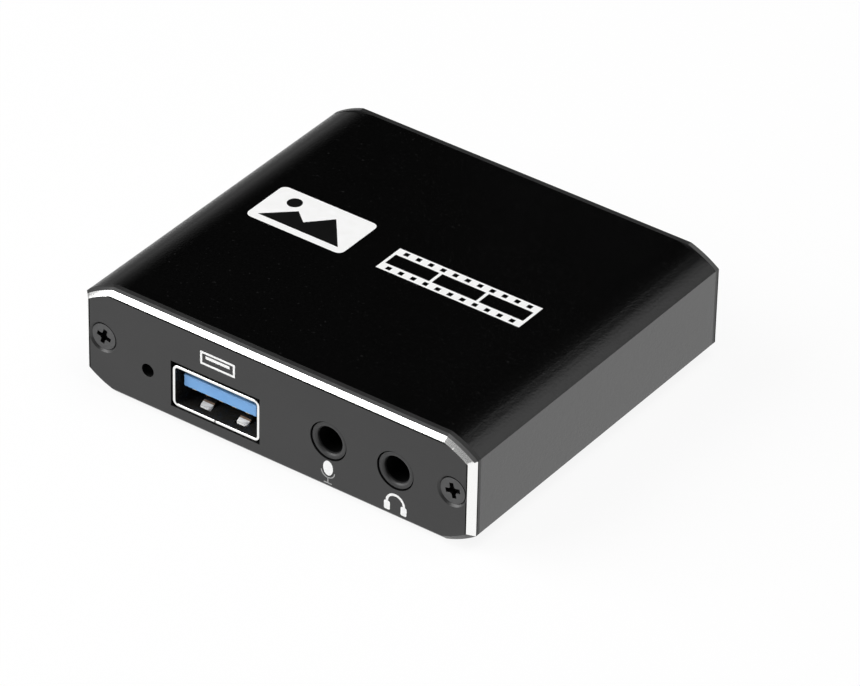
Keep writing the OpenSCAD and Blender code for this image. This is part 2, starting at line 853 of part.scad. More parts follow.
module video_contacts(x) {
    pin_y = video_block_y - video_pin_len;
    color("#d8b45a") at_back() for (row = [0, 1], i = [0:video_top_pins - 1 - row]) {
        at = x + (i - (video_top_pins - 1 - row) / 2) * video_pitch;
        z = video_tongue_z + (row == 0 ? video_tongue_t / 2 : -video_tongue_t / 2 - video_pin_t);
        block([at - video_pin_w / 2, pin_y, z], [at + video_pin_w / 2, video_block_y, z + video_pin_t]);
        tail(at, video_back, video_z, tail_t, tail_foot);
    }
}

module video_fingers(x) {
    color("#e0e2e4") at_back() video_finger_spots(x) finger(video_finger_w);
}

module video_in_shell() {
    video_shell(video_x);
}

module video_in_tongue() {
    video_tongue(video_x);
}

module video_in_contacts() {
    video_contacts(video_x);
}

module video_in_fingers() {
    video_fingers(video_x);
}

module video_out_shell() {
    video_shell(-video_x);
}

module video_out_tongue() {
    video_tongue(-video_x);
}

module video_out_contacts() {
    video_contacts(-video_x);
}

module video_out_fingers() {
    video_fingers(-video_x);
}

// Status lamp

module lamp_lens() {
    straight = lamp_front + lamp_d / 2;
    color("#dff0e2") union() {
        rod_y(lamp_d, lamp_x, lamp_z, straight, lamp_front + lamp_len);
        translate([lamp_x, straight, lamp_z]) sphere(d = lamp_d);
    }
}

module lamp_holder() {
    color("#161617") difference() {
        block([lamp_x - holder_w / 2, holder_y, board_top],
            [lamp_x + holder_w / 2, holder_y + holder_len, lamp_z + holder_w / 2]);
        rod_y(lamp_d + 2 * lamp_play, lamp_x, lamp_z,
            holder_y - cut_over, holder_y + holder_len + cut_over);
    }
}

module lamp_leads() {
    color("#b8bcc2") union() {
        lamp_lead_pair(0);
        for (side = [-1, 1])
            rod_y(lead_d, lamp_x + side * lead_pitch / 2, lamp_z - lead_d / 2,
                lamp_front + lamp_len, lead_y);
    }
}

// Chips and small parts

module capture_chip() {
    color("#141416") on_board([data_x, capture_y], capture_side, capture_side, chip_h);
}

module repeater_chip() {
    color("#141416") on_board([repeater_x, repeater_y], repeater_side, repeater_side, chip_h);
}

module audio_chip() {
    color("#141416") on_board([jack_mid, audio_y], audio_side, audio_side, chip_h);
}

module memory_chip() {
    at = [memory_l / 2 - side_x, capture_y + memory_shift];
    color("#1c1c1e") union() {
        on_board(at, memory_l, memory_w, memory_h);
        for (i = [0:memory_legs - 1])
            on_board(at + [(i - (memory_legs - 1) / 2) * memory_pitch, 0],
                memory_leg, memory_w + 2 * leg_reach, memory_h / 2);
    }
}

module regulator_chip() {
    at = [side_x - regulator_l / 2, repeater_y];
    reach = (regulator_w + leg_reach) / 2;
    color("#1c1c1e") union() {
        on_board(at, regulator_l, regulator_w, regulator_h);
        on_board(at + [0, reach], regulator_tab, leg_reach, regulator_h / 2);
        for (i = [-1:1])
            on_board(at + [i * regulator_pitch, -reach], regulator_leg, leg_reach, regulator_h / 2);
    }
}

module power_coils() {
    color("#4a4a4e") for (i = [0, 1])
        translate([coil_side / 2 - side_x, capture_y - coil_shift + i * coil_pitch, board_top])
            difference() {
                translate([-coil_side / 2, -coil_side / 2, 0]) cube([coil_side, coil_side, coil_h]);
                translate([0, 0, coil_h - coil_well]) cylinder(d = coil_wire_d, h = coil_h);
            }
}

module crystals() {
    color("#c9ccd0") for (end = [-1, 1])
        on_board([crystal_x, capture_y + end * crystal_pitch / 2], crystal_l, crystal_w, crystal_h);
}

module capacitors() {
    color("#b89a72") for (i = [0:capacitor_count - 1], end = [-1, 1])
        on_board([data_x + (i - (capacitor_count - 1) / 2) * capacitor_pitch,
            capture_y + end * (capture_y - capacitor_y)], capacitor_w, capacitor_l, capacitor_w);
}

module resistors() {
    color("#26262a") for (i = [0:resistor_count - 1])
        on_board([repeater_x + (i - (resistor_count - 1) / 2) * resistor_pitch, resistor_y],
            resistor_w, resistor_l, resistor_h);
}

module surge_arrays() {
    color("#141416") for (socket = [-1, 1], end = [-1, 1])
        on_board([socket * video_x + end * surge_pitch / 2, surge_y], surge_l, surge_w, surge_h);
}

sleeve();
front_plate();
rear_plate();
front_screws();
rear_screws();
circuit_board();
gap_pad();
data_shell();
data_tongue();
data_contacts();
data_lower_fingers();
data_upper_fingers();
mic_body();
mic_ring_spring();
mic_tip_spring();
mic_sleeve_contact();
phone_body();
phone_ring_spring();
phone_tip_spring();
phone_sleeve_contact();
video_in_shell();
video_in_tongue();
video_in_contacts();
video_in_fingers();
video_out_shell();
video_out_tongue();
video_out_contacts();
video_out_fingers();
lamp_lens();
lamp_holder();
lamp_leads();
capture_chip();
repeater_chip();
audio_chip();
memory_chip();
regulator_chip();
power_coils();
crystals();
capacitors();
resistors();
surge_arrays();
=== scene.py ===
import math
import bpy
import bmesh
from mathutils import Matrix, Vector


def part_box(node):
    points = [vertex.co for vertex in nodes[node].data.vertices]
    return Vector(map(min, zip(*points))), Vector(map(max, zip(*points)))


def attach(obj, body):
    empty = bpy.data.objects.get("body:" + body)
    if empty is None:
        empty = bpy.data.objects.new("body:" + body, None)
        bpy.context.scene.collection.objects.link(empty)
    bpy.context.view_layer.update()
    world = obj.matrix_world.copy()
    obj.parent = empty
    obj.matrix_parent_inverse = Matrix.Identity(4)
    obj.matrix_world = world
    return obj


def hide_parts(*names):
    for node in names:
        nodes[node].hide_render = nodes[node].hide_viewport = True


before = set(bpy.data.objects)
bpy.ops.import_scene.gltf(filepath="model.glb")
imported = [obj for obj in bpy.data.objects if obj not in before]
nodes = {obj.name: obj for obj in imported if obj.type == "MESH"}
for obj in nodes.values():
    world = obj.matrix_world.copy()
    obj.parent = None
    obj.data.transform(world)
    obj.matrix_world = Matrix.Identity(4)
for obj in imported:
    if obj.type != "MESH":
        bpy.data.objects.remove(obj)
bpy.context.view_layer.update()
scene = bpy.context.scene
scene.view_settings.view_transform = 'Standard'
mm = 0.001
print("frame loaded:", len(nodes), "nodes")

# Noise in the finishes: the span of its values that tone, roughness and dust use, how strong dust is,
# and how deep the bumps are as a share of the grain.
noise = {"tone": (0.4, 1.1), "rough": (0.3, 0.7), "dust": (0.71, 0.82), "dustShare": 0.03,
         "dustTone": (0.5, 0.5, 0.5, 1), "bumpDepth": 0.3}


# Finishes. Sizes in mm: grain is the fine texture, patch the slow drift of tone.
def makeFinish(name, look):
    mat = bpy.data.materials.new(name)
    mat.use_nodes = True
    tree = mat.node_tree
    shader = tree.nodes["Principled BSDF"]
    link = tree.links.new

    def add(kind, **values):
        node = tree.nodes.new(kind)
        for key, value in values.items():
            node.inputs[key].default_value = value
        return node

    def cloud(size, vector, **values):
        node = add('ShaderNodeTexNoise', Scale=1 / mm / size, **values)
        link(vector, node.inputs["Vector"])
        return node.outputs["Fac"]

    def spread(value, span, low=0.0, high=1.0):
        ends = {"From Min": span[0], "From Max": span[1], "To Min": low, "To Max": high}
        node = add('ShaderNodeMapRange', **ends)
        link(value, node.inputs["Value"])
        return node.outputs["Result"]

    def mixTones(factor):
        node = tree.nodes.new('ShaderNodeMix')
        node.data_type = 'RGBA'
        link(factor, node.inputs["Factor"])
        return node

    coords = tree.nodes.new('ShaderNodeTexCoord').outputs["Object"]
    place = add('ShaderNodeMapping', Scale=look.get("stretch", (1, 1, 1)))
    link(coords, place.inputs["Vector"])
    fine = cloud(look["grain"], place.outputs["Vector"], Detail=3.0, Roughness=0.6)
    broad = cloud(look["patch"], coords, Detail=2.0, Roughness=0.5)

    # tone drifts with the patches and speckles with the grain
    tone = tree.nodes.new('ShaderNodeMath')
    tone.operation = 'MULTIPLY_ADD'
    tone.inputs[1].default_value = look.get("speckle", 0.5)
    link(fine, tone.inputs[0])
    link(broad, tone.inputs[2])
    blend = mixTones(spread(tone.outputs["Value"], noise["tone"]))
    dark, light = look["tones"]
    blend.inputs["A"].default_value = (*dark, 1)
    blend.inputs["B"].default_value = (*light, 1)
    colour = blend.outputs["Result"]

    if "dust" in look:
        specks = cloud(look["dust"], coords, Detail=1.0)
        dusty = mixTones(spread(specks, noise["dust"], high=noise["dustShare"]))
        dusty.inputs["B"].default_value = noise["dustTone"]
        link(colour, dusty.inputs["A"])
        colour = dusty.outputs["Result"]
    link(colour, shader.inputs["Base Color"])

    link(spread(fine, noise["rough"], *look["rough"]), shader.inputs["Roughness"])
    bump = add('ShaderNodeBump', Strength=look["bump"], Distance=noise["bumpDepth"] * look["grain"] * mm)
    link(fine, bump.inputs["Height"])
    link(bump.outputs["Normal"], shader.inputs["Normal"])

    shader.inputs["Metallic"].default_value = look.get("metal", 0.0)
    shader.inputs["IOR"].default_value = look.get("ior", 1.5)
    shader.inputs["Coat Weight"].default_value = look.get("coat", 0.0)
    shader.inputs["Coat Roughness"].default_value = look.get("coatRough", 0.1)
    return mat


# Case finishes: dyed anodising is dark but reflects a little more than plastic does.
sleeveFinish = makeFinish("sleeveAnodised", {
    "tones": ((0.0003, 0.0003, 0.0003), (0.0008, 0.0008, 0.0008)), "rough": (0.18, 0.24),
    "grain": 0.28, "patch": 9.0, "bump": 0.32, "ior": 1.8, "dust": 0.45})
plateFinish = makeFinish("plateAnodised", {
    "tones": ((0.003, 0.003, 0.0031), (0.007, 0.007, 0.0072)), "rough": (0.34, 0.44),
    "grain": 0.26, "patch": 7.0, "bump": 0.14, "ior": 1.58})
landFinish = makeFinish("plateLand", {
    "tones": ((0.010, 0.010, 0.010), (0.022, 0.022, 0.022)), "rough": (0.40, 0.55),
    "grain": 0.20, "patch": 3.0, "bump": 0.15, "ior": 1.6})
# A lighter copy of the land finish: a painted highlight on the rear plate's corner lands, and a grey
# painted reflection on one top corner facet of each plate.
paintedCornerLightFinish = makeFinish("paintedCornerLight", {
    "tones": ((0.065, 0.065, 0.065), (0.095, 0.095, 0.095)), "rough": (0.40, 0.55),
    "grain": 0.20, "patch": 3.0, "bump": 0.15, "ior": 1.6})
# A dark, dull copy of the land finish: painted shade on the outer part of the top bevel.
shadedTopCutFinish = makeFinish("paintedShadeTopCut", {
    "tones": ((0.012, 0.012, 0.012), (0.026, 0.026, 0.026)), "rough": (0.40, 0.55),
    "grain": 0.20, "patch": 3.0, "bump": 0.15, "ior": 1.38})
# A dark copy that barely reflects: painted shade for the fine dark line beside the plate's bevel.
shadeLineFinish = makeFinish("paintedShadeLine", {
    "tones": ((0.002, 0.002, 0.002), (0.006, 0.006, 0.006)), "rough": (0.6, 0.75),
    "grain": 0.10, "patch": 2.0, "bump": 0.1, "ior": 1.2})
brightCutFinish = makeFinish("brightCut", {
    "tones": ((0.93, 0.93, 0.92), (0.98, 0.98, 0.97)), "rough": (0.24, 0.32), "metal": 1.0,
    "grain": 0.05, "patch": 4.0, "bump": 0.05})
screwFinish = makeFinish("blackZinc", {
    "tones": ((0.020, 0.020, 0.0205), (0.045, 0.045, 0.046)), "rough": (0.34, 0.46),
    "grain": 0.16, "patch": 1.2, "bump": 0.2, "ior": 1.64})
pocketFinish = makeFinish("recessShade", {
    "tones": ((0.001, 0.001, 0.001), (0.003, 0.003, 0.003)), "rough": (0.6, 0.75),
    "grain": 0.12, "patch": 1.0, "bump": 0.1, "ior": 1.2})
nickelFinish = makeFinish("brightNickel", {
    "tones": ((0.90, 0.90, 0.88), (0.96, 0.96, 0.95)), "rough": (0.20, 0.30), "metal": 1.0,
    "grain": 0.08, "patch": 3.0, "bump": 0.05})
# A dark copy of the bright nickel: painted shade on walls inside the sockets and on finger parts under the
# tongues.
nickelInShadeFinish = makeFinish("nickelInShade", {
    "tones": ((0.05, 0.048, 0.045), (0.09, 0.086, 0.08)), "rough": (0.22, 0.34), "metal": 0.75,
    "grain": 0.08, "patch": 2.0, "bump": 0.06})
seamFinish = makeFinish("rolledSeam", {
    "tones": ((0.25, 0.245, 0.24), (0.35, 0.345, 0.34)), "rough": (0.35, 0.5), "metal": 1.0,
    "grain": 0.05, "patch": 1.0, "bump": 0.1})
tinFinish = makeFinish("satinTin", {
    "tones": ((0.95, 0.95, 0.94), (0.98, 0.98, 0.975)), "rough": (0.38, 0.5), "metal": 0.06,
    "grain": 0.10, "patch": 0.9, "bump": 0.06})
# Brown tin: a painted reflection on the fingers' crests.
reflectionTinFinish = makeFinish("tinWithPaintedReflection", {
    "tones": ((0.30, 0.20, 0.14), (0.42, 0.29, 0.21)), "rough": (0.35, 0.5), "metal": 0.3,
    "grain": 0.10, "patch": 0.9, "bump": 0.06})
blueFinish = makeFinish("bluePlastic", {
    "tones": ((0.14, 0.36, 0.72), (0.185, 0.42, 0.78)), "rough": (0.34, 0.42),
    "grain": 0.10, "patch": 2.5, "bump": 0.06})
goldFinish = makeFinish("goldContact", {
    "tones": ((0.70, 0.50, 0.20), (0.82, 0.62, 0.30)), "rough": (0.20, 0.32), "metal": 1.0,
    "grain": 0.06, "patch": 1.5, "bump": 0.05})
blackFinish = makeFinish("blackPlastic", {
    "tones": ((0.010, 0.010, 0.0105), (0.018, 0.018, 0.0185)), "rough": (0.42, 0.55),
    "grain": 0.16, "patch": 2.0, "bump": 0.12, "ior": 1.56})
inkFinish = makeFinish("whiteInk", {
    "tones": ((0.90, 0.90, 0.89), (0.96, 0.96, 0.96)), "rough": (0.45, 0.6),
    "grain": 0.06, "patch": 1.5, "bump": 0.08})
paleInkFinish = makeFinish("thinInk", {
    "tones": ((0.28, 0.28, 0.28), (0.40, 0.40, 0.40)), "rough": (0.45, 0.6),
    "grain": 0.06, "patch": 1.5, "bump": 0.08})
darkInkFinish = makeFinish("blackInk", {
    "tones": ((0.002, 0.002, 0.002), (0.004, 0.004, 0.004)), "rough": (0.30, 0.42),
    "grain": 0.10, "patch": 1.5, "bump": 0.08})
lampFinish = makeFinish("smokedEpoxy", {
    "tones": ((0.012, 0.016, 0.013), (0.022, 0.030, 0.024)), "rough": (0.10, 0.18),
    "grain": 0.30, "patch": 1.0, "bump": 0.02, "coat": 0.5})
boardFinish = makeFinish("solderMask", {
    "tones": ((0.010, 0.070, 0.028), (0.018, 0.110, 0.045)), "rough": (0.25, 0.38),
    "grain": 0.22, "patch": 3.0, "bump": 0.10, "coat": 0.3})
padFinish = makeFinish("gapPad", {
    "tones": ((0.36, 0.45, 0.55), (0.45, 0.55, 0.66)), "rough": (0.6, 0.8),
    "grain": 0.25, "patch": 2.0, "bump": 0.3})
wireFinish = makeFinish("tinnedWire", {
    "tones": ((0.58, 0.59, 0.60), (0.70, 0.71, 0.72)), "rough": (0.24, 0.38), "metal": 1.0,
    "grain": 0.08, "patch": 1.0, "bump": 0.08})
chipFinish = makeFinish("chipMould", {
    "tones": ((0.012, 0.012, 0.013), (0.022, 0.022, 0.023)), "rough": (0.5, 0.66),
    "grain": 0.10, "patch": 2.0, "bump": 0.2})
ferriteFinish = makeFinish("ferrite", {
    "tones": ((0.09, 0.09, 0.095), (0.14, 0.14, 0.145)), "rough": (0.5, 0.7),
    "grain": 0.14, "patch": 1.6, "bump": 0.25})
capacitorFinish = makeFinish("capacitorCeramic", {
    "tones": ((0.40, 0.30, 0.18), (0.54, 0.41, 0.26)), "rough": (0.35, 0.5),
    "grain": 0.10, "patch": 0.8, "bump": 0.12})
resistorFinish = makeFinish("resistorGlaze", {
    "tones": ((0.02, 0.02, 0.024), (0.04, 0.04, 0.046)), "rough": (0.2, 0.35),
    "grain": 0.10, "patch": 0.6, "bump": 0.08})
canFinish = makeFinish("crystalCan", {
    "tones": ((0.60, 0.61, 0.62), (0.72, 0.73, 0.74)), "rough": (0.25, 0.4), "metal": 1.0,
    "stretch": (1, 0.05, 1), "grain": 0.06, "patch": 1.2, "bump": 0.1})
print("finishes made")


# Tolerances in mm, and the parts of a face's normal that tell one kind of face from another.
weld = 0.001
sliver = 0.0001
near = 0.02
lean = {"flat": 0.99, "side": 0.9, "wall": 0.5, "up": 0.3, "corner": 0.2, "sheer": 0.1}
flatAngle = 0.5  # degrees
inkThick = 0.01  # mm, also how far the printed faces are set back


# A merged copy of a CAD mesh, with its flat faces whole again.
def copyOf(node):
    bm = bmesh.new()
    bm.from_mesh(nodes[node].data)
    bmesh.ops.remove_doubles(bm, verts=bm.verts, dist=weld * mm)
    bmesh.ops.dissolve_limit(bm, angle_limit=math.radians(flatAngle), use_dissolve_boundaries=False,
                             verts=bm.verts, edges=bm.edges)
    return bm


def middleOf(edge):
    return (edge.verts[0].co + edge.verts[1].co) / 2 / mm


def centreOf(face):
    return face.calc_center_median() / mm


# Rounds the edges that turn by more than fromAngle and whose middle passes the test.
def softenEdges(bm, width, test, segments=2, fromAngle=30):
    edges = [e for e in bm.edges if len(e.link_faces) == 2
             and math.degrees(e.calc_face_angle(0)) > fromAngle and test(middleOf(e))]
    bmesh.ops.bevel(bm, geom=edges, offset=width * mm, offset_type='OFFSET', affect='EDGES',
                    segments=segments, profile=0.5, material=-1, clamp_overlap=True)


def cutAcross(bm, faces, at, normal):
    parts = set(faces)
    for f in faces:
        parts.update(f.edges)
        parts.update(f.verts)
    bmesh.ops.bisect_plane(bm, geom=list(parts), dist=sliver * mm, plane_co=Vector(at) * mm,
                           plane_no=normal)


def addPiece(bm, name, body, finishes, replaced=(), smoothBelow=40):
    mesh = bpy.data.meshes.new(name)
    bm.to_mesh(mesh)
    bm.free()
    for mat in finishes:
        mesh.materials.append(mat)
    mesh.shade_smooth()
    mesh.set_sharp_from_angle(angle=math.radians(smoothBelow))
    piece = bpy.data.objects.new(name, mesh)
    scene.collection.objects.link(piece)
    weighted = piece.modifiers.new("faceNormals", 'WEIGHTED_NORMAL')
    weighted.keep_sharp = True
    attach(piece, body)
    if replaced:
        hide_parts(*replaced)
    return piece


# Sleeve: the corner cuts run softly into the top and the underside, and the top lies an ink's
# thickness low, so that the print stays in the case's own size. Play is slack in choosing faces.
sleeve = {"cornerWide": 4.2, "cornerTall": 2.2, "bulge": 0.2, "blend": 2.4, "step": 0.4,
          "samples": 25, "play": 0.05}
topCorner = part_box("sleeve")[1]
halfWide, tall = topCorner.x / mm, topCorner.z / mm
cutStart = halfWide - sleeve["cornerWide"]
blendStart = cutStart - sleeve["blend"]
chord = math.hypot(sleeve["cornerWide"], sleeve["cornerTall"])  # the arc stands bulge high over it
arcRadius = chord ** 2 / (8 * sleeve["bulge"]) + sleeve["bulge"] / 2
arcOff = (arcRadius - sleeve["bulge"]) / chord
arcX = halfWide - sleeve["cornerWide"] / 2 - arcOff * sleeve["cornerTall"]
arcZ = -sleeve["cornerTall"] / 2 - arcOff * sleeve["cornerWide"]


def cornerDrop(x):
    if x <= cutStart:
        return 0.0
    return -arcZ - math.sqrt(arcRadius ** 2 - (min(x, halfWide) - arcX) ** 2)


# The mean drop over a stretch that narrows towards the side.
def softDrop(x):
    reach = min(sleeve["blend"], halfWide - x)
    last = sleeve["samples"] - 1
    return sum(cornerDrop(x + reach * (2 * i / last - 1)) for i in range(last + 1)) / (last + 1)


def inCorner(face):
    reach = sleeve["cornerTall"] + sleeve["play"]
    heights = [v.co.z / mm for v in face.verts]
    if face.normal.z > lean["up"]:
        return all(tall - z < reach for z in heights)
    return face.normal.z < -lean["up"] and all(z < reach for z in heights)


bm = copyOf("sleeve")
stripCount = int((halfWide - blendStart) / sleeve["step"])
for i in range(stripCount + 1):
    for side in (-1, 1):
        at = side * (blendStart + i * sleeve["step"])
        cutAcross(bm, [f for f in bm.faces if inCorner(f)], (at, 0, 0), (1, 0, 0))
for v in bm.verts:
    x, z = abs(v.co.x) / mm, v.co.z / mm
    up = any(f.normal.z > lean["up"] for f in v.link_faces)
    down = any(f.normal.z < -lean["up"] for f in v.link_faces)
    if x > blendStart and up and tall - z < cornerDrop(x) + near:
        v.co.z = (tall - softDrop(x)) * mm
    if x > blendStart and down and z < cornerDrop(x) + near:
        v.co.z = softDrop(x) * mm
    v.co.z = min(v.co.z, (tall - inkThick) * mm)
addPiece(bm, "sleeveShell", "case", [sleeveFinish], ["sleeve"], smoothBelow=25)
print("sleeve made")


# End plates: the bevel is cut bright, save along the underside, which keeps the plate's dark tone as
# painted shade of the contact shadow. Along the top its outer part is painted dark as painted shade,
# and a fine dark line of painted shade runs beside it.
plate = {"holeEdge": 0.07, "bevel": 0.85, "bright": 0.54, "sideShadeLine": 0.2, "topShadeLine": 0.26,
         "landShadeLine": 0.2, "rimRoom": 0.1, "play": 0.05, "bevelLean": (0.5, 0.85),
         "holeRoomX": 1.1, "holeRoomZ": 1.3}


# Whether a point lies on the plate's outer edge, or no further in than room.
def onRim(c, room=0.0):
    across, up = abs(c.x), abs(c.z - tall / 2)
    onSide = across > halfWide - plate["rimRoom"] - room
    onTop = up > tall / 2 - plate["rimRoom"] - room
    inCut = across > cutStart + plate["rimRoom"] - room and up > tall / 2 - sleeve["cornerTall"] - room
    return onSide or onTop or inCut


def dressPlate(node, name, facing):
    low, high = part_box(node)
    face = (low.y if facing < 0 else high.y) / mm
    shadeLineX = high.x / mm - plate["bevel"] - plate["sideShadeLine"]
    shadeLineZ = high.z / mm - plate["bevel"] - plate["topShadeLine"]
    brightY = face - facing * plate["bright"]
    landShadeY = face - facing * (plate["bevel"] + plate["landShadeLine"])
    bm = copyOf(node)

    def cuts():
        least, most = plate["bevelLean"]
        return [f for f in bm.faces if least < abs(f.normal.y) < most
                and onRim(centreOf(f), plate["bevel"] + plate["play"])]

    def lands():
        return [f for f in bm.faces if abs(f.normal.y) < lean["sheer"] and onRim(centreOf(f))]

    def fronts():
        return [f for f in bm.faces if abs(f.normal.y) > lean["flat"]
                and abs(centreOf(f).y - face) < near / 2]

    def outside(f, y):
        return (centreOf(f).y - y) * facing > 0

    def atHole(p):
        inX = abs(p.x) < halfWide - plate["holeRoomX"]
        inZ = abs(p.z - tall / 2) < tall / 2 - plate["holeRoomZ"]
        return abs(p.y - face) < near / 2 and inX and inZ

    cutAcross(bm, [f for f in cuts() if f.normal.z > lean["up"]], (0, brightY, 0), (0, 1, 0))
    cutAcross(bm, [f for f in lands() if abs(f.normal.x) > lean["side"]], (0, landShadeY, 0), (0, 1, 0))
    for side in (-1, 1):
        cutAcross(bm, fronts(), (side * shadeLineX, 0, 0), (1, 0, 0))
    cutAcross(bm, fronts(), (0, 0, shadeLineZ), (0, 0, 1))

    finishes = [plateFinish, brightCutFinish, landFinish, shadeLineFinish, shadedTopCutFinish, paintedCornerLightFinish]
    dyedAndShaded, bright, land, line, topCutShade, cornerLight = range(len(finishes))
    for f in cuts():
        n = f.normal
        # bottom facets take the plate's dark tone: painted shade of the contact shadow
        f.material_index = dyedAndShaded if n.z < -lean["up"] else bright
        if n.z > lean["up"] and not outside(f, brightY):
            # outer part of the top bevel: painted shade; on one corner facet of each plate, a grey painted
            # reflection instead
            f.material_index = topCutShade if n.x * facing > -lean["corner"] else cornerLight
    for f in lands():
        n = f.normal
        # the rear plate's corner lands take the lighter tone as a painted highlight
        atCorner = n.z > lean["up"] and abs(n.x) > lean["corner"]
        f.material_index = cornerLight if facing > 0 and atCorner else land
        # side lands next to the bevel: a painted shade line
        if abs(n.x) > lean["side"] and outside(f, landShadeY):
            f.material_index = line
    for f in fronts():
        c = centreOf(f)
        # the face next to the bevel: a painted shade line
        if abs(c.x) > shadeLineX or c.z > shadeLineZ:
            f.material_index = line
    softenEdges(bm, plate["holeEdge"], atHole)
    for v in bm.verts:
        if abs(v.co.y / mm - face) < weld:
            v.co.y -= facing * inkThick * mm
    mesh = addPiece(bm, name, "case", finishes, [node], smoothBelow=30).data

    # corners meet the top at a sharp line, save the front's left one
    for edge in mesh.edges:
        c = sum((mesh.vertices[i].co for i in edge.vertices), Vector()) / 2 / mm
        atCut = abs(abs(c.x) - cutStart) < plate["bevel"] and c.z > shadeLineZ - plate["bevel"]
        if atCut and (facing > 0 or c.x > 0):
            edge.use_edge_sharp = True


dressPlate("front_plate", "frontPlateDressed", -1)
dressPlate("rear_plate", "rearPlateDressed", 1)
print("plates made")

# Screws: only the heads show, so only they are rounded. Rim and recess lie in shade.
screws = {"rimRound": 0.13, "headDepth": 0.6, "headRadius": 1.8, "recessRadius": 1.2,
          "recessFrom": 0.05, "recessDepth": 0.85}
for node, name in (("front_screws", "frontScrewHeads"), ("rear_screws", "rearScrewHeads")):
    low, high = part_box(node)
    outer = max(abs(low.y), abs(high.y)) / mm
    axisX, axisZ = high.x / mm - screws["headRadius"], (low.z + high.z) / 2 / mm
    bm = copyOf(node)
    softenEdges(bm, screws["rimRound"], lambda p: abs(p.y) > outer - screws["headDepth"], fromAngle=35)
    for f in bm.faces:
        c = centreOf(f)
        inRecess = screws["recessFrom"] < outer - abs(c.y) < screws["recessDepth"]
        onRound = abs(f.normal.y) < lean["flat"]
        inside = math.hypot(abs(c.x) - axisX, c.z - axisZ) < screws["recessRadius"]
        f.material_index = int(inRecess if inside else onRound)
    addPiece(bm, name, "case", [screwFinish, pocketFinish], [node])
print("screws made")

# Data socket: bent shell with a rolled rim and a butt seam under it.
socket = {"rimRound": 0.09, "rimDepth": 0.04, "seamWidth": 0.3, "seamOff": -0.13,
          "tongueRound": 0.18, "tongueFront": 3.0}
low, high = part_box("data_tongue")
tip = low.y / mm
socketX = (low.x + high.x) / 2 / mm
socketZ = (low.z + high.z) / 2 / mm
seamX = socketX + socket["seamOff"]


def facesInward(face, middleX, middleZ):
    c, n = centreOf(face), face.normal
    return abs(n.y) < lean["wall"] and (middleX - c.x) * n.x + (middleZ - c.z) * n.z > 0


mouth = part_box("data_shell")[0].y / mm
bm = copyOf("data_shell")
softenEdges(bm, socket["rimRound"], lambda p: abs(p.y - mouth) < near, segments=3)
for side in (-1, 1):
    cutAcross(bm, bm.faces[:], (seamX + side * socket["seamWidth"] / 2, 0, 0), (1, 0, 0))
shellFinishes = [nickelFinish, nickelInShadeFinish, seamFinish]
for f in bm.faces:
    c = centreOf(f)
    # walls inside the data socket: painted shade
    if facesInward(f, socketX, socketZ) and c.y > mouth + socket["rimDepth"]:
        f.material_index = shellFinishes.index(nickelInShadeFinish)
    elif abs(c.x - seamX) < socket["seamWidth"] / 2 and c.z < socketZ:
        f.material_index = shellFinishes.index(seamFinish)
addPiece(bm, "dataShellRolled", "case", shellFinishes, ["data_shell"])

bm = copyOf("data_tongue")
softenEdges(bm, socket["tongueRound"], lambda p: p.y < tip + socket["tongueFront"],
            segments=3, fromAngle=40)
addPiece(bm, "dataTongueMoulded", "case", [blueFinish], ["data_tongue"])
print("data socket made")

# Sprung fingers: the tip is round. From the crest to the tail the plating has a brown painted reflection,
# and beyond the tail painted shade.
finger = {"edgeRound": 0.11, "tipRound": 0.4, "tipCuts": (0.5, 0.75, 1.0), "crest": 0.82, "tail": 1.06,
          "crumb": 0.002}
# tin to the crest, then a brown painted reflection to the tail, then painted shade
fingerFinishes = [tinFinish, reflectionTinFinish, nickelInShadeFinish]  # from the tip to the crest, to the tail, and on
for node, name, body in (("data_lower_fingers", "lowerFingers", "data_lower_spring"),
                         ("data_upper_fingers", "upperFingers", "data_upper_spring"),
                         ("video_in_fingers", "videoInFingers", "video_in_spring"),
                         ("video_out_fingers", "videoOutFingers", "video_out_spring")):
    low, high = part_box(node)
    facing = -1 if low.y < 0 else 1
    outer = max(abs(low.y), abs(high.y)) / mm
    tipRound = finger["tipRound"]
    bm = copyOf(node)
    for share in finger["tipCuts"]:
        cutAcross(bm, bm.faces[:], (0, facing * (outer - share * tipRound), 0), (0, 1, 0))
    for v in bm.verts:
        past = tipRound - outer + abs(v.co.y) / mm
        if past > 0:
            side = sum(round(f.normal.x) for f in v.link_faces)
            v.co.x -= side * (tipRound - math.sqrt(tipRound ** 2 - past ** 2)) * mm
    softenEdges(bm, finger["edgeRound"], lambda p: True, fromAngle=40)
    for depth in (finger["crest"], finger["tail"]):
        cutAcross(bm, bm.faces[:], (0, facing * (outer - depth), 0), (0, 1, 0))
    bmesh.ops.dissolve_degenerate(bm, dist=finger["crumb"] * mm, edges=bm.edges)
    for f in bm.faces:
        depth = outer - abs(centreOf(f).y)
        f.material_index = sum(depth >= finger[end] for end in ("crest", "tail"))
    addPiece(bm, name, body, fingerFinishes, [node])
print("fingers made")

# Video sockets: the same rolled rim.
for way, name in (("in", "videoInShell"), ("out", "videoOutShell")):
    node = "video_" + way + "_shell"
    low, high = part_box(node)
    middleX = (low.x + high.x) / 2 / mm
    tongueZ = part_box("video_" + way + "_tongue")[0].z / mm
    mouth = high.y / mm
    bm = copyOf(node)
    softenEdges(bm, socket["rimRound"], lambda p: abs(p.y - mouth) < near, fromAngle=25)
    for f in bm.faces:
        # walls inside the video sockets: painted shade
        inside = facesInward(f, middleX, tongueZ) and centreOf(f).y < mouth - socket["rimDepth"]
        f.material_index = int(inside)
    addPiece(bm, name, "case", [nickelFinish, nickelInShadeFinish], [node])
print("video sockets made")

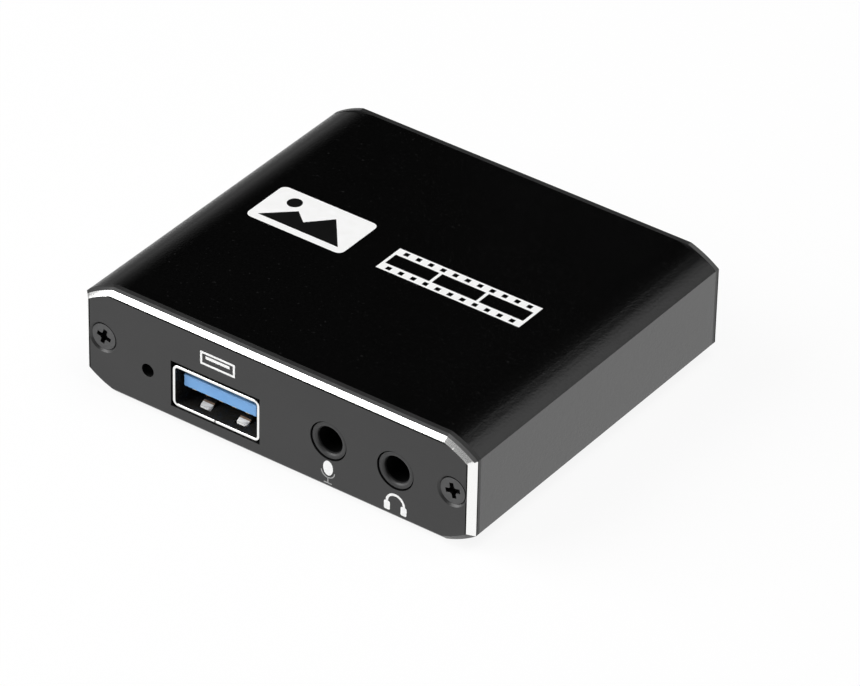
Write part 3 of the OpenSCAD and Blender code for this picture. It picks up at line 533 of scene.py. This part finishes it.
# Jacks: the collar rolls softly into the bore, which is dark from a little way in.
jack = {"collarRound": 0.10, "lipRound": 0.15, "lipRadius": 2.2, "lipDepth": 0.4, "lipWide": 2.05,
        "lipDeep": 0.25, "boreRadius": 2.0, "boreDepth": 0.15, "shadeFrom": 0.55}
for node, name in (("mic_body", "micJack"), ("phone_body", "phoneJack")):
    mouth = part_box(node)[0].y / mm
    bm = copyOf(node)
    ring = [f for f in bm.faces if all(v.co.y / mm - mouth < near for v in f.verts)]
    rim = [v.co / mm for f in ring for v in f.verts]
    axisX = (min(p.x for p in rim) + max(p.x for p in rim)) / 2
    axisZ = (min(p.z for p in rim) + max(p.z for p in rim)) / 2

    def offAxis(p):
        return math.hypot(p.x - axisX, p.z - axisZ)

    # the collar's front is taken off, the bore's mouth widened, and the front closed again
    bmesh.ops.delete(bm, geom=ring, context='FACES_ONLY')
    bmesh.ops.delete(bm, geom=[e for e in bm.edges if e.is_wire], context='EDGES')
    for v in bm.verts:
        away = Vector((v.co.x / mm - axisX, v.co.z / mm - axisZ))
        depth = v.co.y / mm - mouth
        if away.length < jack["boreRadius"] and depth < near:
            away *= jack["lipWide"] / away.length
            v.co.x, v.co.z = (axisX + away.x) * mm, (axisZ + away.y) * mm
        elif away.length < jack["boreRadius"] and depth < jack["boreDepth"]:
            v.co.y = (mouth + jack["lipDeep"]) * mm
    bmesh.ops.bridge_loops(bm, edges=[e for e in bm.edges if e.is_boundary])
    bmesh.ops.recalc_face_normals(bm, faces=bm.faces)
    softenEdges(bm, jack["collarRound"], segments=3,
                test=lambda p: abs(p.y - mouth) < near and offAxis(p) > jack["lipRadius"])
    softenEdges(bm, jack["lipRound"], segments=4,
                test=lambda p: p.y - mouth < jack["lipDepth"] and offAxis(p) < jack["lipRadius"])
    bore = [f for f in bm.faces if abs(f.normal.y) < lean["sheer"]
            and offAxis(centreOf(f)) < jack["boreRadius"]]
    cutAcross(bm, bore, (0, mouth + jack["shadeFrom"], 0), (0, 1, 0))
    for f in bm.faces:
        c = centreOf(f)
        inShade = c.y - mouth > jack["shadeFrom"] and offAxis(c) < jack["boreRadius"]
        f.material_index = int(inShade)
    addPiece(bm, name, "case", [blackFinish, pocketFinish], [node])
print("jacks made")

# The CAD solids that keep their own shape, each with its finish.
stays = {
    "circuit_board": boardFinish, "gap_pad": padFinish, "data_contacts": goldFinish,
    "mic_ring_spring": goldFinish, "mic_tip_spring": goldFinish, "mic_sleeve_contact": goldFinish,
    "phone_ring_spring": goldFinish, "phone_tip_spring": goldFinish, "phone_sleeve_contact": goldFinish,
    "video_in_tongue": blackFinish, "video_out_tongue": blackFinish,
    "video_in_contacts": goldFinish, "video_out_contacts": goldFinish,
    "lamp_lens": lampFinish, "lamp_holder": blackFinish, "lamp_leads": wireFinish,
    "capture_chip": chipFinish, "repeater_chip": chipFinish, "audio_chip": chipFinish,
    "memory_chip": chipFinish, "regulator_chip": chipFinish, "surge_arrays": chipFinish,
    "power_coils": ferriteFinish, "crystals": canFinish, "capacitors": capacitorFinish,
    "resistors": resistorFinish}
for node, mat in stays.items():
    nodes[node].data.materials.clear()
    nodes[node].data.materials.append(mat)
print("solids dressed:", len(stays))

# Printed marks. Shapes are drawn flat in mm, then laid on a face and given an ink's thickness.
strokes = {"discSides": 40, "bandSteps": 28, "cornerSteps": 6}


def bar(bm, x0, y0, x1, y1, cornerRound=0.0):
    made = bmesh.ops.create_grid(bm, x_segments=1, y_segments=1, size=0.5)["verts"]  # sides of 1
    bmesh.ops.scale(bm, vec=(x1 - x0, y1 - y0, 1), verts=made)
    bmesh.ops.translate(bm, vec=((x0 + x1) / 2, (y0 + y1) / 2, 0), verts=made)
    if cornerRound:
        bmesh.ops.bevel(bm, geom=made, offset=cornerRound, offset_type='OFFSET', affect='VERTICES',
                        segments=strokes["cornerSteps"], profile=0.5, material=-1, clamp_overlap=True)


def disc(bm, x, y, radius, tall=1.0):
    made = bmesh.ops.create_circle(bm, cap_ends=True, segments=strokes["discSides"],
                                   radius=radius)["verts"]
    bmesh.ops.scale(bm, vec=(1, tall, 1), verts=made)
    bmesh.ops.translate(bm, vec=(x, y, 0), verts=made)


def band(bm, x, y, inner, outer, start, turn):
    a = math.radians(start)
    ends = [bm.verts.new((x + r * math.cos(a), y + r * math.sin(a), 0)) for r in (inner, outer)]
    edge = bm.edges.new(ends)
    bmesh.ops.spin(bm, geom=ends + [edge], cent=(x, y, 0), axis=(0, 0, 1), angle=math.radians(turn),
                   steps=strokes["bandSteps"], use_duplicate=False)


# A plain sheet with windows, each given by two opposite corners.
def sheet(bm, x0, y0, x1, y1, windows):
    bar(bm, x0, y0, x1, y1)
    for axis, normal in ((0, (1, 0, 0)), (1, (0, 1, 0))):
        for at in sorted({w[axis] for w in windows} | {w[axis + 2] for w in windows}):
            bmesh.ops.bisect_plane(bm, geom=bm.verts[:] + bm.edges[:] + bm.faces[:], dist=sliver,
                                   plane_co=(at, at, 0), plane_no=normal)
    middles = {f: f.calc_center_median() for f in bm.faces}
    bmesh.ops.delete(bm, context='FACES', geom=[f for f, c in middles.items() if any(
        w[0] < c.x < w[2] and w[1] < c.y < w[3] for w in windows)])


def patch(bm, points):
    bm.faces.new([bm.verts.new((x, y, 0)) for x, y in points])


def layInk(bm, name, place, finish=inkFinish, lift=0.0, thickness=inkThick):
    bmesh.ops.remove_doubles(bm, verts=bm.verts, dist=sliver)
    for f in bm.faces:
        f.normal_update()
        if f.normal.z < 0:
            f.normal_flip()
    grown = bmesh.ops.extrude_face_region(bm, geom=bm.faces[:])["geom"]
    risen = [g for g in grown if isinstance(g, bmesh.types.BMVert)]
    bmesh.ops.translate(bm, vec=(0, 0, thickness), verts=risen)
    bmesh.ops.recalc_face_normals(bm, faces=bm.faces)
    bmesh.ops.translate(bm, vec=(0, 0, lift), verts=bm.verts)
    bmesh.ops.transform(bm, matrix=place @ Matrix.Scale(mm, 4), verts=bm.verts)
    addPiece(bm, name, "case", [finish], smoothBelow=30)


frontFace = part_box("front_plate")[0].y + inkThick * mm
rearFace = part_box("rear_plate")[1].y - inkThick * mm
topFace = topCorner.z - inkThick * mm
onFront = Matrix(((1, 0, 0, 0), (0, 0, -1, frontFace), (0, 1, 0, 0), (0, 0, 0, 1)))
onRear = Matrix(((-1, 0, 0, 0), (0, 0, 1, rearFace), (0, 1, 0, 0), (0, 0, 0, 1)))
onTop = Matrix(((1, 0, 0, 0), (0, 1, 0, 0), (0, 0, 1, topFace), (0, 0, 0, 1)))

# Under the jacks: a microphone on its stand, and headphones.
micMark = {"x": 8.0, "z": 3.32, "width": 1.45, "height": 2.1, "cupZ": 2.92, "cup": 1.06, "cupStart": 185,
           "cupTurn": 170, "line": 0.15, "foot": 1.24, "footReach": 0.6, "overlap": 0.02}
x, z, cup, cupZ, line, foot = (micMark[k] for k in ("x", "z", "cup", "cupZ", "line", "foot"))
bm = bmesh.new()
disc(bm, x, z, micMark["width"] / 2, micMark["height"] / micMark["width"])
layInk(bm, "micMark", onFront)
bm = bmesh.new()
band(bm, x, cupZ, cup - line, cup, micMark["cupStart"], micMark["cupTurn"])
bar(bm, x - line / 2, foot, x + line / 2, cupZ - cup + micMark["overlap"])
bar(bm, x - micMark["footReach"], foot - line, x + micMark["footReach"], foot)
layInk(bm, "micStandMark", onFront, paleInkFinish)

phoneMark = {"x": 17.9, "z": 2.46, "inner": 1.08, "outer": 1.41, "cupIn": 0.78, "cupOut": 1.65,
             "cupTall": 1.25, "cupRound": 0.22}
x, z = phoneMark["x"], phoneMark["z"]
bm = bmesh.new()
band(bm, x, z, phoneMark["inner"], phoneMark["outer"], 0, 180)
for side in (-1, 1):
    ends = sorted((x + side * phoneMark["cupIn"], x + side * phoneMark["cupOut"]))
    bar(bm, ends[0], z - phoneMark["cupTall"], ends[1], z, phoneMark["cupRound"])
layInk(bm, "phoneMark", onFront)

# Over the data socket: a plain picture of a socket mouth.
socketMark = {"x": -8.5, "z": 11.3, "width": 5.2, "height": 1.9, "line": 0.3, "tongueIn": 0.8,
              "tongueTall": 0.42}
x, z, line, tongueIn = (socketMark[k] for k in ("x", "z", "line", "tongueIn"))
w, h = socketMark["width"] / 2, socketMark["height"] / 2
bm = bmesh.new()
sheet(bm, x - w, z - h, x + w, z + h, [(x - w + line, z - h + line, x + w - line, z + h - line)])
bar(bm, x - w + tongueIn, z, x + w - tongueIn, z + socketMark["tongueTall"])
layInk(bm, "socketMark", onFront)

# Over the video sockets: an arrow in and an arrow out.
arrowMark = {"x": 10.6, "z": 11.7, "shaft": 1.6, "line": 0.28, "head": 1.0, "headReach": 0.6}
z, shaft, line, reach = (arrowMark[k] for k in ("z", "shaft", "line", "headReach"))
for name, way in (("videoInMark", -1), ("videoOutMark", 1)):
    x = way * arrowMark["x"]
    neck = x + way * shaft / 2
    bm = bmesh.new()
    bar(bm, x - shaft / 2, z - line / 2, x + shaft / 2, z + line / 2)
    patch(bm, ((neck + way * arrowMark["head"], z), (neck, z + reach), (neck, z - reach)))
    layInk(bm, name, onRear)

# On top: a panel with a picture of hills and the sun, and a strip of film.
pictureMark = {"x": -14.75, "y": 1.0, "width": 14.6, "height": 8.0, "corner": 0.9, "sun": 1.0,
               "sunAt": (-3.9, 1.7),
               "hills": ((-6.1, -2.9), (6.1, -2.9), (2.3, 1.9), (-0.5, -1.1), (-2.4, 0.5))}
x, y = pictureMark["x"], pictureMark["y"]
w, h = pictureMark["width"] / 2, pictureMark["height"] / 2
sunX, sunY = pictureMark["sunAt"]
bm = bmesh.new()
bar(bm, x - w, y - h, x + w, y + h, pictureMark["corner"])
layInk(bm, "pictureMark", onTop, thickness=inkThick / 2)
bm = bmesh.new()
patch(bm, [(x + dx, y + dy) for dx, dy in pictureMark["hills"]])
disc(bm, x + sunX, y + sunY, pictureMark["sun"])
layInk(bm, "pictureHills", onTop, darkInkFinish, inkThick / 2, inkThick / 2)

filmMark = {"x": 8.1, "y": 0.0, "width": 21.2, "height": 5.0, "edge": 0.3, "hole": 0.7, "rail": 0.4,
            "count": 12, "frames": 3}
x, y, edge, hole, rail, count = (filmMark[k] for k in ("x", "y", "edge", "hole", "rail", "count"))
w, h = filmMark["width"] / 2, filmMark["height"] / 2
step = (2 * w + hole) / count
inside = h - edge - hole - rail
holeY = h - edge - hole / 2
frameWide = (2 * w - rail) / filmMark["frames"]
windows = []
for i in range(1, count):
    for sy in (-1, 1):
        windows.append((x - w + i * step - hole, y + sy * holeY - hole / 2,
                        x - w + i * step, y + sy * holeY + hole / 2))
for i in range(filmMark["frames"]):
    windows.append((x - w + rail + i * frameWide, y - inside, x - w + (i + 1) * frameWide, y + inside))
bm = bmesh.new()
sheet(bm, x - w, y - h, x + w, y + h, windows)
layInk(bm, "filmMark", onTop)
print("marks printed")

# Studio: a white floor that turns up at its rim, soft lamps and a dim room. The floor is given by
# radius and height in m.
studio = {"floor": ((0, 0), (0.5, 0), (2.4, 0), (2.85, 0.06), (3.08, 0.24), (3.2, 0.6)),
          "floorTurns": 72, "floorTone": (0.94, 0.94, 0.94, 1), "floorGlow": 0.9, "room": 0.007}


def addStage(bm, name, mat):
    mesh = bpy.data.meshes.new(name)
    bm.to_mesh(mesh)
    bm.free()
    mesh.shade_smooth()
    mesh.materials.append(mat)
    item = bpy.data.objects.new(name, mesh)
    scene.collection.objects.link(item)
    return item


def barePaint(name):
    mat = bpy.data.materials.new(name)
    mat.use_nodes = True
    mat.node_tree.nodes.remove(mat.node_tree.nodes["Principled BSDF"])
    return mat


# The floor glows for the camera and for reflections, and takes shadows as a plain surface does.
floorPaint = barePaint("paleFloor")
tree = floorPaint.node_tree
link = tree.links.new
path = tree.nodes.new('ShaderNodeLightPath')
seen = path.outputs["Is Camera Ray"]
for ray in ("Is Glossy Ray", "Is Transmission Ray"):
    either = tree.nodes.new('ShaderNodeMath')
    either.operation = 'MAXIMUM'
    link(seen, either.inputs[0])
    link(path.outputs[ray], either.inputs[1])
    seen = either.outputs[0]
share = tree.nodes.new('ShaderNodeMath')
share.operation = 'MULTIPLY'
share.inputs[1].default_value = studio["floorGlow"]
link(seen, share.inputs[0])
paint = tree.nodes.new('ShaderNodeBsdfDiffuse')
paint.inputs["Color"].default_value = studio["floorTone"]
mix = tree.nodes.new('ShaderNodeMixShader')
link(share.outputs[0], mix.inputs["Fac"])
link(paint.outputs[0], mix.inputs[1])
link(tree.nodes.new('ShaderNodeEmission').outputs[0], mix.inputs[2])
link(mix.outputs[0], tree.nodes["Material Output"].inputs["Surface"])

bm = bmesh.new()
profile = [bm.verts.new((r, 0, z)) for r, z in studio["floor"]]
chain = [bm.edges.new(pair) for pair in zip(profile, profile[1:])]
bmesh.ops.spin(bm, geom=profile + chain, cent=(0, 0, 0), axis=(0, 0, 1), angle=2 * math.pi,
               steps=studio["floorTurns"], use_merge=True, use_duplicate=False)
bmesh.ops.remove_doubles(bm, verts=bm.verts, dist=sliver)
bmesh.ops.recalc_face_normals(bm, faces=bm.faces)
addStage(bm, "studioFloor", floorPaint)

# A grey card along the left side, which only reflections see. It is lightest at its foot. Sizes in mm.
card = {"gap": 30, "middleY": 30, "width": 140, "low": 0.2, "high": 45, "foot": 0.33, "fadeTo": 36}
cardPaint = barePaint("greyCard")
tree = cardPaint.node_tree
link = tree.links.new
spot = tree.nodes.new('ShaderNodeTexCoord')
axes = tree.nodes.new('ShaderNodeSeparateXYZ')
link(spot.outputs["Object"], axes.inputs["Vector"])
ramp = tree.nodes.new('ShaderNodeMapRange')
ramp.inputs["From Max"].default_value = card["fadeTo"] * mm
ramp.inputs["To Min"].default_value = card["foot"]
ramp.inputs["To Max"].default_value = 0
link(axes.outputs["Z"], ramp.inputs["Value"])
glow = tree.nodes.new('ShaderNodeEmission')
link(ramp.outputs["Result"], glow.inputs["Strength"])
link(glow.outputs[0], tree.nodes["Material Output"].inputs["Surface"])
bm = bmesh.new()
cardX = -halfWide - card["gap"]
nearY, farY = (card["middleY"] + side * card["width"] / 2 for side in (-1, 1))
corners = ((farY, card["low"]), (nearY, card["low"]), (nearY, card["high"]), (farY, card["high"]))
bm.faces.new([bm.verts.new((cardX * mm, y * mm, z * mm)) for y, z in corners])
cardSheet = addStage(bm, "greyCard", cardPaint)
cardSheet.visible_camera = False
cardSheet.visible_diffuse = False
cardSheet.visible_shadow = False

world = bpy.data.worlds.new("dimRoom")
scene.world = world
world.use_nodes = True
world.node_tree.nodes["Background"].inputs["Color"].default_value = (1, 1, 1, 1)
world.node_tree.nodes["Background"].inputs["Strength"].default_value = studio["room"]

# direction from the box, distance m, size m, brightness of its face
lamps = {
    "keyLamp": ((-0.72, -0.46, 0.52), 1.2, 1.1, 4.8),
    "topLamp": ((0.25, 0.05, 0.97), 1.2, 0.75, 3.8),
    "backLamp": ((0.445, 0.519, 0.73), 0.472, 0.26, 0.6),
    "fillLamp": ((0.17, -0.73, 0.66), 1.2, 1.1, 0.28)}
for name, (way, distance, side, face) in lamps.items():
    lamp = bpy.data.lights.new(name, 'AREA')
    lamp.shape = 'SQUARE'
    lamp.size = side
    lamp.energy = face * math.pi * side * side
    holder = bpy.data.objects.new(name, lamp)
    way = Vector(way).normalized()
    holder.location = way * distance
    holder.rotation_euler = way.to_track_quat('Z', 'Y').to_euler()
    scene.collection.objects.link(holder)
print("studio lit")

# Camera: where the photograph was taken from. Angles in degrees, lengths in mm, clip in m.
view = {"azimuth": 35.2574, "elevation": 34.7642, "roll": 1.2685, "distance": 742.57,
        "target": (4.0156, 0.0, 5.3461), "focalPx": 6114.62, "widthPx": 860, "sensor": 36,
        "clip": (0.01, 50)}
az, el, roll = (math.radians(view[k]) for k in ("azimuth", "elevation", "roll"))
right = Vector((math.cos(az), math.sin(az), 0))
ahead = Vector((-math.sin(az) * math.cos(el), math.cos(az) * math.cos(el), -math.sin(el)))
up = right.cross(ahead)
across = math.cos(roll) * right + math.sin(roll) * up
upward = math.cos(roll) * up - math.sin(roll) * right
lens = bpy.data.cameras.new("photoCamera")
lens.sensor_width = view["sensor"]
lens.lens = view["focalPx"] / view["widthPx"] * view["sensor"]
lens.clip_start, lens.clip_end = view["clip"]
camera = bpy.data.objects.new("photoCamera", lens)
turn = Matrix((across, upward, -ahead)).transposed().to_4x4()
stand = (Vector(view["target"]) - ahead * view["distance"]) * mm
camera.matrix_world = Matrix.Translation(stand) @ turn
scene.collection.objects.link(camera)
scene.camera = camera
